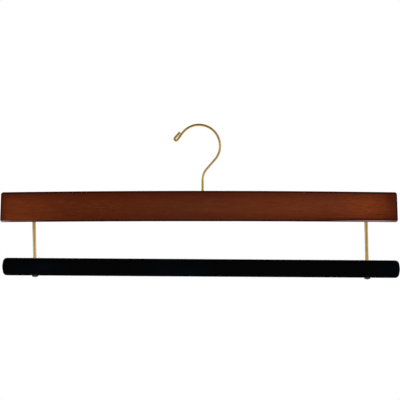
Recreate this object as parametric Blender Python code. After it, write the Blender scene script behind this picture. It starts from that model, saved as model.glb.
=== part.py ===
"""A trouser hanger: a flat hardwood beam on a swivel hook, and a flocked round bar hung under it on two rods.

The origin is the inside top of the hook, where it sits on its rail. +X is to the viewer's right, +Y is away
from the viewer and +Z is up. Lengths are in metres and angles in radians.
"""

import math

import bmesh
import bpy
from mathutils import Matrix, Vector

MM = 0.001
DEGREE = math.pi / 180

# Gap between two faces that touch on the real hanger
SEAT_GAP = 0.3 * MM

# Hook, bent from one length of round wire
WIRE_DIAMETER = 3.0 * MM
HOOK_INSIDE_DIAMETER = 50.8 * MM
HOOK_SLOPE = 41 * DEGREE  # of the straight run under the ring, from the vertical
HOOK_BEND_RADIUS = 20.5 * MM  # where that run turns down into the stem
HOOK_STEM_OFFSET = 4.6 * MM  # of the stem, to the right of the ring's middle
HOOK_STEM_LENGTH = 14.15 * MM  # straight, above the beam
HOOK_RING_END = 144.5 * DEGREE  # where the ring ends in the tip, round from +X
TIP_LENGTH = 9.75 * MM  # straight run from the ring to the hairpin
TIP_RETURN_LENGTH = 9.6 * MM  # of the wire folded back outside it
TIP_FOLD_GAP = 1.15 * MM  # between the two legs of the hairpin, where it folds
TIP_END_GAP = 0.15 * MM  # between them where the wire ends, because it is pressed back in
HOOK_HEAD_LIP = 1.6 * MM  # how far the upset head stands out round the wire
HOOK_HEAD_THICKNESS = 2.0 * MM
HOOK_HEAD_CHAMFER = 0.3 * MM
HOOK_WASHER_RIM = 1.4 * MM  # width of the washer's ring
HOOK_WASHER_THICKNESS = 0.8 * MM
HOOK_WASHER_CHAMFER = 0.15 * MM

# Bush that the hook turns in, pressed into the beam
FERRULE_LENGTH = 16.0 * MM
FERRULE_WALL = 1.4 * MM
FERRULE_BARB_HEIGHT = 0.3 * MM
FERRULE_BARB_PITCH = 3.2 * MM
FERRULE_RIM = 1.2 * MM  # height of the plain rim at its top
HEAD_ROOM = 2.0 * MM  # left under the hook's head

# Wooden beam
BEAM_LENGTH = 508.8 * MM  # along its lower edge
BEAM_HEIGHT = 39.0 * MM  # at the middle
BEAM_THICKNESS = 12.7 * MM
BEAM_TOP_CROWN = 1.9 * MM  # fall of the upper edge from the middle to the ends
BEAM_UNDERSIDE_ARCH = 1.2 * MM  # fall of the lower edge from the middle to the ends
BEAM_END_FLARE = 2.0 * DEGREE  # the ends lean out on the way down
BEAM_CORNER_RADIUS = 3.2 * MM  # of its four corners, seen from the front
BEAM_EDGE_RADIUS = 2.5 * MM  # sanded round on both faces' edges

# Rods, one at each end of the beam
ROD_DIAMETER = 4.5 * MM
ROD_INSET = 41.9 * MM  # from the ends of the beam's lower edge
ROD_OFFSET = 1.3 * MM  # of the pair, to the right of the beam's middle; 0 on a perfect hanger
ROD_LEAN = 1.3 * DEGREE  # both lean to the right on the way down; 0 on a perfect hanger
ROD_EMBED = 22.0 * MM  # length driven into the beam
ROD_PLAIN = 2.5 * MM  # of that length, plain at the mouth of the hole
ROD_BARB_HEIGHT = 0.3 * MM
ROD_BARB_PITCH = 2.4 * MM
ROD_TIP_CHAMFER = 0.8 * MM
COLLAR_LIP = 0.6 * MM  # stop collar that seats under the beam
COLLAR_THICKNESS = 0.9 * MM
SHOULDER_DEPTH = 3.0 * MM  # how deep the rod's full width goes into the bar's core
THREAD_DIAMETER = 3.5 * MM
THREAD_HEIGHT = 0.45 * MM
THREAD_PITCH = 0.8 * MM
THREAD_LENGTH = 6.4 * MM
ROD_END_PROUD = 0.8 * MM  # left standing out of the nut

# Round bar
BAR_LENGTH = 509.0 * MM
BAR_DIAMETER = 22.6 * MM  # over the flock
FLOCK_THICKNESS = 0.9 * MM
BAR_END_RADIUS = 5.5 * MM
BAR_END_DOME = 0.8 * MM
BAR_DROP = 59.6 * MM  # from the beam's underside to the bar's axis, at the middle
BAR_TILT = 0.385 * DEGREE  # the right end hangs lower; 0 on a perfect hanger

# Nuts and washers under the bar, in spot faces cut along the rods
WASHER_DIAMETER = 9.0 * MM
WASHER_THICKNESS = 0.8 * MM
WASHER_CHAMFER = 0.15 * MM
NUT_ACROSS_FLATS = 7.9 * MM
NUT_HEIGHT = 2.8 * MM
NUT_CHAMFER = 25 * DEGREE
SPOT_FACE_DROP = 8.4 * MM  # below the bar's axis
SPOT_FACE_CLEARANCE = 0.7 * MM  # round the washer

# Facets
WIRE_BEVEL_RESOLUTION = 5
ROUND_SIDES = 24
ROD_SIDES = 16
BAR_SIDES = 32
ARC_STEP = 7.5 * DEGREE
HAIRPIN_STEP = 20 * DEGREE
BEAM_STEPS = 20
EDGE_SEGMENTS = 3
CORNER_STEPS = 5
WELD_DISTANCE = 0.001 * MM
STEP_HEIGHT = 0.01 * MM  # along the wire, where its width changes at once
DRILL_POINT = 0.5  # depth of a drilled hole's point, as a share of the drill's radius
SMOOTH_ANGLE = 35 * DEGREE

# Places that follow from the sizes
WIRE_RADIUS = WIRE_DIAMETER / 2
RING_RADIUS = HOOK_INSIDE_DIAMETER / 2 + WIRE_RADIUS
RING_CENTRE_Z = -HOOK_INSIDE_DIAMETER / 2
STEM_TOP_Z = RING_CENTRE_Z + (
    (HOOK_STEM_OFFSET + HOOK_BEND_RADIUS) * math.cos(HOOK_SLOPE) - RING_RADIUS - HOOK_BEND_RADIUS
) / math.sin(HOOK_SLOPE)
BEAM_TOP_Z = STEM_TOP_Z - HOOK_STEM_LENGTH
BEAM_UNDERSIDE_Z = BEAM_TOP_Z - BEAM_HEIGHT

HOOK_BORE_RADIUS = WIRE_RADIUS + SEAT_GAP
FERRULE_RADIUS = HOOK_BORE_RADIUS + FERRULE_WALL
FERRULE_TOP = -SEAT_GAP
FERRULE_BOTTOM = FERRULE_TOP - FERRULE_LENGTH
HOOK_WASHER_TOP = FERRULE_BOTTOM - SEAT_GAP
HOOK_HEAD_TOP = HOOK_WASHER_TOP - HOOK_WASHER_THICKNESS - SEAT_GAP
HOOK_HEAD_BOTTOM = HOOK_HEAD_TOP - HOOK_HEAD_THICKNESS
BEAM_BORE_BOTTOM = HOOK_HEAD_BOTTOM - HEAD_ROOM
BEAM_BORE_RADIUS = SEAT_GAP + max(
    FERRULE_RADIUS + FERRULE_BARB_HEIGHT, WIRE_RADIUS + HOOK_HEAD_LIP, HOOK_BORE_RADIUS + HOOK_WASHER_RIM
)

ROD_RADIUS = ROD_DIAMETER / 2
ROD_SPACING = BEAM_LENGTH - 2 * ROD_INSET
ROD_BORE_RADIUS = ROD_RADIUS + SEAT_GAP
THREAD_RADIUS = THREAD_DIAMETER / 2
THREAD_BORE_RADIUS = THREAD_RADIUS + SEAT_GAP
BAR_RADIUS = BAR_DIAMETER / 2
CORE_INSET = FLOCK_THICKNESS + SEAT_GAP
SHOULDER_Z = BAR_RADIUS - CORE_INSET - SHOULDER_DEPTH
WASHER_TOP = -SPOT_FACE_DROP - SEAT_GAP
NUT_TOP = WASHER_TOP - WASHER_THICKNESS - SEAT_GAP
NUT_BOTTOM = NUT_TOP - NUT_HEIGHT
ROD_BOTTOM = NUT_BOTTOM - ROD_END_PROUD
SPOT_FACE_RADIUS = WASHER_DIAMETER / 2 + SPOT_FACE_CLEARANCE
BAR_MIDDLE_X = ROD_OFFSET + BAR_DROP * math.tan(ROD_LEAN)
BAR_MIDDLE_Z = BEAM_UNDERSIDE_Z - BAR_DROP


def clear_scene():
    for old in list(bpy.data.objects):
        bpy.data.objects.remove(old)


def material(name, colour, roughness, metallic=0.0):
    made = bpy.data.materials.new(name)
    made.use_nodes = True
    shader = made.node_tree.nodes["Principled BSDF"]
    shader.inputs["Base Color"].default_value = (*colour, 1)
    shader.inputs["Roughness"].default_value = roughness
    shader.inputs["Metallic"].default_value = metallic
    made.diffuse_color = (*colour, 1)
    return made


def add_object(name, data, finish, parent=None, place=(0, 0, 0), turn_y=0.0):
    """Puts data in the scene at a place in the part's frame. It then follows its parent, if it has one."""
    piece = bpy.data.objects.new(name, data)
    bpy.context.collection.objects.link(piece)
    if finish is not None:
        data.materials.append(finish)
    piece.location = place
    piece.rotation_euler = (0, turn_y, 0)
    if parent is not None:
        piece.parent = parent
        piece.matrix_parent_inverse = parent.matrix_basis.inverted()
    return piece


def finished_mesh(name, shape):
    """Turns a bmesh into a mesh whose faces point out, shaded smooth between its sharp edges."""
    bmesh.ops.remove_doubles(shape, verts=shape.verts, dist=WELD_DISTANCE)
    bmesh.ops.recalc_face_normals(shape, faces=shape.faces)
    mesh = bpy.data.meshes.new(name)
    shape.to_mesh(mesh)
    shape.free()
    mesh.shade_smooth()
    mesh.set_sharp_from_angle(angle=SMOOTH_ANGLE)
    return mesh


def turned_mesh(name, profile, ring=False, sides=ROUND_SIDES, along_x=False):
    """Turns (radius, height) points round Z. A ring's profile closes on itself. Others end on the axis."""
    shape = bmesh.new()
    rows = []
    for i in range(sides):
        turn = Matrix.Rotation(2 * math.pi * i / sides, 3, "Z")
        rows.append([shape.verts.new(turn @ Vector((radius, 0, height))) for radius, height in profile])
    for here, ahead in zip(rows, rows[1:] + rows[:1]):
        for j in range(0 if ring else 1, len(profile)):
            shape.faces.new((here[j - 1], ahead[j - 1], ahead[j], here[j]))
    if along_x:
        shape.transform(Matrix.Rotation(math.pi / 2, 4, "Y"))
    return finished_mesh(name, shape)


def cutter(name, mesh, parent=None, place=(0, 0, 0), turn_y=0.0):
    tool = add_object(name, mesh, None, parent, place, turn_y)
    tool.hide_render = True
    tool.display_type = "WIRE"
    return tool


def combine(piece, tool, operation="DIFFERENCE"):
    cut = piece.modifiers.new(tool.name, "BOOLEAN")
    cut.operation = operation
    cut.solver = "EXACT"
    cut.object = tool


def arc(centre_x, centre_z, radius, start, end, step):
    """Points (x, z) along an arc, both ends included."""
    count = max(2, math.ceil(abs(end - start) / step))
    angles = [start + (end - start) * i / count for i in range(count + 1)]
    return [(centre_x + radius * math.cos(a), centre_z + radius * math.sin(a)) for a in angles]


def barbs(radius, height, bottom, top, pitch):
    """Saw teeth that stand out from radius. They widen at once on the way up, so they hold against a pull."""
    count = max(1, int((top - bottom) / pitch))
    profile = []
    for i in range(count):
        tooth = bottom + pitch * i
        profile += [(radius, tooth), (radius + height, tooth + height / 2)]
    return profile + [(radius, bottom + pitch * count)]


def hook_path():
    """The wire's axis from its head to its tip, as (x, z, width as a share of the wire's)."""
    head_width = 1 + HOOK_HEAD_LIP / WIRE_RADIUS
    head_rim = head_width - HOOK_HEAD_CHAMFER / WIRE_RADIUS
    head = [
        (HOOK_HEAD_BOTTOM, head_rim),
        (HOOK_HEAD_BOTTOM + HOOK_HEAD_CHAMFER, head_width),
        (HOOK_HEAD_TOP - HOOK_HEAD_CHAMFER, head_width),
        (HOOK_HEAD_TOP, head_rim),
        (HOOK_HEAD_TOP + STEP_HEIGHT, 1),
    ]
    path = [(HOOK_STEM_OFFSET, BEAM_TOP_Z + height, width) for height, width in head]

    bend = arc(
        HOOK_STEM_OFFSET + HOOK_BEND_RADIUS,
        STEM_TOP_Z,
        HOOK_BEND_RADIUS,
        math.pi,
        math.pi - HOOK_SLOPE,
        ARC_STEP,
    )
    ring = arc(0, RING_CENTRE_Z, RING_RADIUS, -HOOK_SLOPE, HOOK_RING_END, ARC_STEP)

    along = (-math.sin(HOOK_RING_END), math.cos(HOOK_RING_END))
    outward = (math.cos(HOOK_RING_END), math.sin(HOOK_RING_END))
    fold = WIRE_RADIUS + TIP_FOLD_GAP / 2
    fold_x = ring[-1][0] + along[0] * TIP_LENGTH + outward[0] * fold
    fold_z = ring[-1][1] + along[1] * TIP_LENGTH + outward[1] * fold
    fold_end = HOOK_RING_END - math.asin((TIP_FOLD_GAP - TIP_END_GAP) / TIP_RETURN_LENGTH)
    hairpin = arc(fold_x, fold_z, fold, HOOK_RING_END + math.pi, fold_end, HAIRPIN_STEP)
    end = (
        hairpin[-1][0] + math.sin(fold_end) * TIP_RETURN_LENGTH,
        hairpin[-1][1] - math.cos(fold_end) * TIP_RETURN_LENGTH,
    )
    return path + [(x, z, 1) for x, z in bend + ring + hairpin + [end]]


def make_hook(brass):
    path = hook_path()
    curve = bpy.data.curves.new("swivel_hook", "CURVE")
    curve.dimensions = "3D"
    curve.bevel_depth = WIRE_RADIUS
    curve.bevel_resolution = WIRE_BEVEL_RESOLUTION
    curve.use_fill_caps = True
    wire = curve.splines.new("POLY")
    wire.points.add(len(path) - 1)
    wire.use_smooth = True
    for point, (x, z, width) in zip(wire.points, path):
        point.co = (x, 0, z, 1)
        point.radius = width
    add_object("swivel_hook", curve, brass)


def ring_profile(inner, outer, bottom, top, chamfer):
    return [
        (inner, bottom),
        (outer - chamfer, bottom),
        (outer, bottom + chamfer),
        (outer, top - chamfer),
        (outer - chamfer, top),
        (inner, top),
    ]


def make_hook_washer(brass):
    profile = ring_profile(
        HOOK_BORE_RADIUS,
        HOOK_BORE_RADIUS + HOOK_WASHER_RIM,
        HOOK_WASHER_TOP - HOOK_WASHER_THICKNESS,
        HOOK_WASHER_TOP,
        HOOK_WASHER_CHAMFER,
    )
    mesh = turned_mesh("hook_washer", profile, ring=True)
    add_object("hook_washer", mesh, brass, place=(HOOK_STEM_OFFSET, 0, BEAM_TOP_Z))


def make_ferrule(brass, swivel_axis):
    rim_bottom = FERRULE_TOP - FERRULE_RIM
    teeth = barbs(FERRULE_RADIUS, FERRULE_BARB_HEIGHT, FERRULE_BOTTOM, rim_bottom, FERRULE_BARB_PITCH)
    profile = [(HOOK_BORE_RADIUS, FERRULE_BOTTOM)] + teeth
    profile += [(FERRULE_RADIUS, rim_bottom), (FERRULE_RADIUS + FERRULE_BARB_HEIGHT, rim_bottom)]
    profile += [(FERRULE_RADIUS + FERRULE_BARB_HEIGHT, FERRULE_TOP), (HOOK_BORE_RADIUS, FERRULE_TOP)]
    mesh = turned_mesh("hook_ferrule", profile, ring=True)
    add_object("hook_ferrule", mesh, brass, swivel_axis, (HOOK_STEM_OFFSET, 0, BEAM_TOP_Z))


def underside_z(x):
    """Height of the beam's lower edge at x."""
    return BEAM_UNDERSIDE_Z - BEAM_UNDERSIDE_ARCH * (2 * x / BEAM_LENGTH) ** 2


def beam_edge(middle_z, fall, half_length):
    """Points (x, z) along a bowed edge, from left to right."""
    shares = [2 * i / BEAM_STEPS - 1 for i in range(BEAM_STEPS + 1)]
    return [(half_length * share, middle_z - fall * share**2) for share in shares]


def rounded_corner(before, corner, after, radius):
    """Points (x, z) of the arc that takes a corner's place in an outline that runs anticlockwise."""
    corner = Vector(corner)
    back = (Vector(before) - corner).normalized()
    ahead = (Vector(after) - corner).normalized()
    inward = (back + ahead).normalized()
    half = back.angle(ahead) / 2
    centre = corner + inward * radius / math.sin(half)
    facing = math.atan2(-inward.y, -inward.x)
    swing = math.pi / 2 - half
    return arc(centre.x, centre.y, radius, facing - swing, facing + swing, math.pi / 2 / CORNER_STEPS)


def beam_outline():
    """The beam from the front, as points (x, z) from its lower left corner to the right and round."""
    upper_half = BEAM_LENGTH / 2 - BEAM_HEIGHT * math.tan(BEAM_END_FLARE)
    lower = beam_edge(-BEAM_HEIGHT, BEAM_UNDERSIDE_ARCH, BEAM_LENGTH / 2)
    upper = beam_edge(0, BEAM_TOP_CROWN, upper_half)[::-1]
    outline = []
    for edge, other in ((lower, upper), (upper, lower)):
        outline += rounded_corner(other[-1], edge[0], edge[1], BEAM_CORNER_RADIUS)
        outline += edge[1:-1]
        outline += rounded_corner(edge[-2], edge[-1], other[0], BEAM_CORNER_RADIUS)
    return outline


def make_beam(lacquered_wood, swivel_axis, rod_places):
    shape = bmesh.new()
    front = shape.faces.new([shape.verts.new((x, -BEAM_THICKNESS / 2, z)) for x, z in beam_outline()])
    grown = bmesh.ops.extrude_face_region(shape, geom=[front])
    back = [part for part in grown["geom"] if isinstance(part, bmesh.types.BMVert)]
    bmesh.ops.translate(shape, verts=back, vec=(0, BEAM_THICKNESS, 0))
    mesh = finished_mesh("crossbar", shape)
    beam = add_object("crossbar", mesh, lacquered_wood, swivel_axis, (0, 0, BEAM_TOP_Z))

    rounding = beam.modifiers.new("sanded_edges", "BEVEL")
    rounding.width = BEAM_EDGE_RADIUS
    rounding.segments = EDGE_SEGMENTS
    rounding.limit_method = "ANGLE"
    rounding.angle_limit = SMOOTH_ANGLE

    bore = [
        (0, BEAM_BORE_BOTTOM - BEAM_BORE_RADIUS * DRILL_POINT),
        (BEAM_BORE_RADIUS, BEAM_BORE_BOTTOM),
        (BEAM_BORE_RADIUS, BEAM_EDGE_RADIUS),
        (0, BEAM_EDGE_RADIUS),
    ]
    mesh = turned_mesh("hook_bore", bore)
    combine(beam, cutter("hook_bore", mesh, swivel_axis, (HOOK_STEM_OFFSET, 0, BEAM_TOP_Z)))

    for side, (place, reach) in rod_places.items():
        hole_top = reach + ROD_EMBED + SEAT_GAP
        bore = [
            (0, reach - ROD_EMBED),
            (ROD_BORE_RADIUS, reach - ROD_EMBED),
            (ROD_BORE_RADIUS, hole_top),
            (0, hole_top + ROD_BORE_RADIUS * DRILL_POINT),
        ]
        mesh = turned_mesh(side + "_rod_bore", bore)
        combine(beam, cutter(side + "_rod_bore", mesh, swivel_axis, place, -ROD_LEAN))


def rod_place(side_sign):
    """Where a rod's axis crosses the bar's axis, and the length along the rod from there to the beam."""
    beam_x = ROD_OFFSET + side_sign * ROD_SPACING / 2
    run_x = beam_x - BAR_MIDDLE_X
    run_z = underside_z(beam_x) - BAR_MIDDLE_Z
    reach = (run_z * math.cos(BAR_TILT) + run_x * math.sin(BAR_TILT)) / math.cos(ROD_LEAN + BAR_TILT)
    x = beam_x + reach * math.sin(ROD_LEAN)
    z = underside_z(beam_x) - reach * math.cos(ROD_LEAN)
    return (x, 0, z), reach


def thread_profile():
    """The rod's lower end, from its tip up: ridges at the thread's pitch on the narrowed shank."""
    root = THREAD_RADIUS - THREAD_HEIGHT
    count = int(THREAD_LENGTH / THREAD_PITCH)
    profile = [(root, ROD_BOTTOM)]
    for i in range(count):
        ridge = ROD_BOTTOM + THREAD_PITCH * (i + 0.5)
        profile += [(THREAD_RADIUS, ridge), (root, ridge + THREAD_PITCH / 2)]
    return profile + [(THREAD_RADIUS, ROD_BOTTOM + THREAD_PITCH * (count + 0.5))]


def make_rod(side, brass, swivel_axis, place, reach):
    outermost = ROD_SPACING / 2 + abs(ROD_OFFSET)
    slant = ROD_LEAN + math.atan(8 * BEAM_UNDERSIDE_ARCH * outermost / BEAM_LENGTH**2)
    collar_radius = ROD_RADIUS + COLLAR_LIP
    collar_top = reach - SEAT_GAP - collar_radius * math.tan(slant)
    collar_bottom = collar_top - COLLAR_THICKNESS
    tip = reach + ROD_EMBED
    root = ROD_RADIUS - ROD_BARB_HEIGHT
    teeth = barbs(root, ROD_BARB_HEIGHT, reach + ROD_PLAIN, tip - ROD_TIP_CHAMFER, ROD_BARB_PITCH)
    profile = [(0, ROD_BOTTOM)] + thread_profile()
    profile += [(THREAD_RADIUS, SHOULDER_Z), (ROD_RADIUS, SHOULDER_Z)]
    profile += [(ROD_RADIUS, collar_bottom), (collar_radius, collar_bottom)]
    profile += [(collar_radius, collar_top), (ROD_RADIUS, collar_top)]
    profile += [(ROD_RADIUS, reach + ROD_PLAIN - ROD_BARB_HEIGHT)] + teeth
    profile += [(root, tip - ROD_TIP_CHAMFER), (root - ROD_TIP_CHAMFER / 2, tip), (0, tip)]
    mesh = turned_mesh(side + "_rod", profile, sides=ROD_SIDES)
    add_object(side + "_rod", mesh, brass, swivel_axis, place, -ROD_LEAN)


def make_fastener(side, blackened_steel, swivel_axis, place):
    washer_bottom = WASHER_TOP - WASHER_THICKNESS
    profile = ring_profile(
        THREAD_BORE_RADIUS, WASHER_DIAMETER / 2, washer_bottom, WASHER_TOP, WASHER_CHAMFER
    )
    mesh = turned_mesh(side + "_washer", profile, ring=True)
    add_object(side + "_washer", mesh, blackened_steel, swivel_axis, place, -ROD_LEAN)

    corner_radius = NUT_ACROSS_FLATS / 2 / math.cos(math.pi / 6)
    blank_radius = corner_radius / math.cos(math.pi / ROUND_SIDES) + SEAT_GAP
    face_radius = NUT_ACROSS_FLATS / 2
    chamfer = (blank_radius - face_radius) * math.tan(NUT_CHAMFER)
    profile = [
        (THREAD_BORE_RADIUS, NUT_BOTTOM),
        (face_radius, NUT_BOTTOM),
        (blank_radius, NUT_BOTTOM + chamfer),
        (blank_radius, NUT_TOP - chamfer),
        (face_radius, NUT_TOP),
        (THREAD_BORE_RADIUS, NUT_TOP),
    ]
    mesh = turned_mesh(side + "_nut", profile, ring=True)
    nut = add_object(side + "_nut", mesh, blackened_steel, swivel_axis, place, -ROD_LEAN)
    hexagon = bmesh.new()
    bmesh.ops.create_cone(
        hexagon,
        segments=6,
        radius1=corner_radius,
        radius2=corner_radius,
        depth=NUT_HEIGHT * 3,
        cap_ends=True,
        matrix=Matrix.Translation((0, 0, (NUT_TOP + NUT_BOTTOM) / 2)),
    )
    mesh = finished_mesh(side + "_nut_flats", hexagon)
    flats = cutter(side + "_nut_flats", mesh, swivel_axis, place, -ROD_LEAN)
    combine(nut, flats, "INTERSECT")


def bar_profile(inset):
    """Half outline of the bar from end to end, as (radius, distance along it), set in by inset all over."""
    corner = BAR_END_RADIUS - inset
    flat_radius = BAR_RADIUS - BAR_END_RADIUS
    crown = BAR_LENGTH / 2 - inset
    turn = arc(flat_radius, crown - BAR_END_DOME - corner, corner, 0, math.pi / 2, math.pi / 2 / CORNER_STEPS)
    dome = [(flat_radius / 2, crown - BAR_END_DOME / 4), (0, crown)]
    half = turn + dome
    return [(radius, -distance) for radius, distance in half[::-1]] + half


def make_bar(flock, bare_wood, swivel_axis, rod_places):
    middle = (BAR_MIDDLE_X, 0, BAR_MIDDLE_Z)
    mesh = turned_mesh("bar_core", bar_profile(CORE_INSET), sides=BAR_SIDES, along_x=True)
    core = add_object("bar_core", mesh, bare_wood, swivel_axis, middle, BAR_TILT)
    mesh = turned_mesh("flocked_cover", bar_profile(0), sides=BAR_SIDES, along_x=True)
    cover = add_object("flocked_cover", mesh, flock, swivel_axis, middle, BAR_TILT)
    mesh = turned_mesh("cover_hollow", bar_profile(FLOCK_THICKNESS), sides=BAR_SIDES, along_x=True)
    combine(cover, cutter("cover_hollow", mesh, swivel_axis, middle, BAR_TILT))

    for side, (place, _) in rod_places.items():
        drill = [
            (0, -BAR_DIAMETER),
            (SPOT_FACE_RADIUS, -BAR_DIAMETER),
            (SPOT_FACE_RADIUS, -SPOT_FACE_DROP),
            (THREAD_BORE_RADIUS, -SPOT_FACE_DROP),
            (THREAD_BORE_RADIUS, SHOULDER_Z - SEAT_GAP),
            (ROD_BORE_RADIUS, SHOULDER_Z - SEAT_GAP),
            (ROD_BORE_RADIUS, BAR_DIAMETER),
            (0, BAR_DIAMETER),
        ]
        mesh = turned_mesh(side + "_bar_bore", drill)
        tool = cutter(side + "_bar_bore", mesh, swivel_axis, place, -ROD_LEAN)
        combine(core, tool)
        combine(cover, tool)


def build():
    clear_scene()
    lacquered_wood = material("lacquered_wood", (0.11, 0.023, 0.008), 0.35)
    bare_wood = material("bare_wood", (0.55, 0.36, 0.18), 0.7)
    brass = material("brass", (0.76, 0.55, 0.24), 0.25, 1.0)
    blackened_steel = material("blackened_steel", (0.02, 0.02, 0.022), 0.4, 0.8)
    flock = material("black_flock", (0.004, 0.004, 0.005), 0.95)

    swivel_axis = bpy.data.objects.new("swivel_axis", None)
    bpy.context.collection.objects.link(swivel_axis)
    swivel_axis.location = (HOOK_STEM_OFFSET, 0, BEAM_TOP_Z)

    rod_places = {"left": rod_place(-1), "right": rod_place(1)}
    make_hook(brass)
    make_hook_washer(brass)
    make_ferrule(brass, swivel_axis)
    make_beam(lacquered_wood, swivel_axis, rod_places)
    make_bar(flock, bare_wood, swivel_axis, rod_places)
    for side, (place, reach) in rod_places.items():
        make_rod(side, brass, swivel_axis, place, reach)
        make_fastener(side, blackened_steel, swivel_axis, place)


build()
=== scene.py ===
import math

import bmesh
import bpy
from mathutils import Matrix, Vector


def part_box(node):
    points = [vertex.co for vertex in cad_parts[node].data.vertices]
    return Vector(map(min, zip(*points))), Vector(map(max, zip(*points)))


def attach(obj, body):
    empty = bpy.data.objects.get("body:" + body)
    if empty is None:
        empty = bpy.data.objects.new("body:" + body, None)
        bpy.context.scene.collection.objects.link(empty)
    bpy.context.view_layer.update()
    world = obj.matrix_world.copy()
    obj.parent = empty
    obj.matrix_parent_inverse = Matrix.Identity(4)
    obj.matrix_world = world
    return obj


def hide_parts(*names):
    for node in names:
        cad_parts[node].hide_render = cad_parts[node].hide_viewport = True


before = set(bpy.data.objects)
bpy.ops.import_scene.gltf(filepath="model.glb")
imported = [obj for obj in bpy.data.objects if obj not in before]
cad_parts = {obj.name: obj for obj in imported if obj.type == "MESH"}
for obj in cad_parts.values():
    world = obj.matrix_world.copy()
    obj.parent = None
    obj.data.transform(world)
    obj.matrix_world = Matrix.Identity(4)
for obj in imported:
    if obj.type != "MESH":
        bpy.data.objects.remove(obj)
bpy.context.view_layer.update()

# Camera
# It looks straight at the front of the hanger from far off, as a product photograph does, so the beam's ends
# show no depth. One pixel of the 400 pixel frame is 1.28 mm on the hanger.
MM = 0.001
DEGREE = math.pi / 180
PIXEL = 1.28 * MM
FRAME_WIDTH = 400 * PIXEL
VIEW_X = PIXEL  # of the picture's middle
VIEW_Z = -94.7 * MM
CAMERA_DISTANCE = 3.0
SENSOR_WIDTH = 36.0


def link(piece):
    bpy.context.scene.collection.objects.link(piece)
    return piece


camera_data = bpy.data.cameras.new("camera")
camera_data.sensor_width = SENSOR_WIDTH
camera_data.lens = SENSOR_WIDTH * CAMERA_DISTANCE / FRAME_WIDTH
camera = link(bpy.data.objects.new("camera", camera_data))
camera.location = (VIEW_X, -CAMERA_DISTANCE, VIEW_Z)
camera.rotation_euler = (math.pi / 2, 0, 0)
bpy.context.scene.camera = camera

# Studio
# A white room with dark flags in front, so that flat lacquered faces show their own colour while round metal
# picks up bright edges, and a cool glow behind. Large soft lamps light it from in front, behind and above.
FLOOR_Z = -520 * MM
FLOOR_RADIUS = 1.85
FLOOR_SIDES = 96
FLOOR_FADE_START = 0.7
FLOOR_COLOUR = (0.86, 0.86, 0.85, 1)
FLOOR_ROUGHNESS = 0.8
WALL_GLOW = (0.68, 0.68, 0.68, 1)
CEILING_GLOW = (0.42, 0.42, 0.42, 1)
FLOOR_GLOW = (0.16, 0.15, 0.14, 1)
BACK_GLOW = (0.55, 0.68, 0.95, 1)
FLAG_GLOW = (0.15, 0.14, 0.11, 1)
FRONT_GLOW = (0.05, 0.05, 0.05, 1)
# Where each part of the room starts and where it is full, on a direction of length 1
CEILING_RISE = (0.15, 0.9)
FLOOR_FALL = (0.0, -0.55)
FLAG_SIDE = (0.42, 0.16)
FLAG_DEPTH = (0.25, -0.1)
BACK_HEIGHT = (0.3, 0.1)
BACK_DEPTH = (0.3, 0.75)
FRONT_DEPTH = (-0.93, -0.99)
# Each lamp's name, place, width and power in watts
LAMPS = (
    ("front_left_lamp", (-1.5, -2.0, 0.05), 1.2, 34),
    ("front_right_lamp", (1.5, -2.0, 0.05), 1.2, 34),
    ("back_lamp", (0.6, 2.2, 0.6), 1.4, 40),
    ("top_lamp", (0, -0.3, 1.6), 1.2, 10),
)


def set_inputs(tree, node, inputs):
    """Gives each input a value, or a link from a socket."""
    for key, value in inputs.items():
        if isinstance(value, bpy.types.NodeSocket):
            tree.links.new(value, node.inputs[key])
        else:
            node.inputs[key].default_value = value


def add_node(tree, kind, inputs=None, **settings):
    made = tree.nodes.new(kind)
    for key, value in settings.items():
        setattr(made, key, value)
    set_inputs(tree, made, inputs or {})
    return made


def new_finish(name):
    """A material with its tree, its Principled shader and a socket for places on the piece, in metres."""
    finish = bpy.data.materials.new(name)
    finish.use_nodes = True
    tree = finish.node_tree
    place = add_node(tree, "ShaderNodeTexCoord").outputs["Object"]
    return finish, tree, tree.nodes["Principled BSDF"], place


def math_node(tree, operation, first, second=0.0):
    return add_node(tree, "ShaderNodeMath", {0: first, 1: second}, operation=operation).outputs[0]


def added(tree, *terms):
    whole = terms[0]
    for term in terms[1:]:
        whole = math_node(tree, "ADD", whole, term)
    return whole


def times(tree, *factors):
    whole = factors[0]
    for factor in factors[1:]:
        whole = math_node(tree, "MULTIPLY", whole, factor)
    return whole


def stepped(tree, value, start, full):
    """0 before the start, 1 from where it is full, and a smooth rise between. Either may be the larger."""
    return add_node(
        tree,
        "ShaderNodeMapRange",
        {"Value": value, "From Min": start, "From Max": full},
        interpolation_type="SMOOTHSTEP",
    ).outputs[0]


def layered(tree, colour, *layers):
    """A colour with others over it, each as (share, colour). A Mix node takes the two colours at 6 and 7."""
    for share, layer in layers:
        inputs = {0: share, 6: colour, 7: layer}
        colour = add_node(tree, "ShaderNodeMix", inputs, data_type="RGBA").outputs[2]
    return colour


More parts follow.
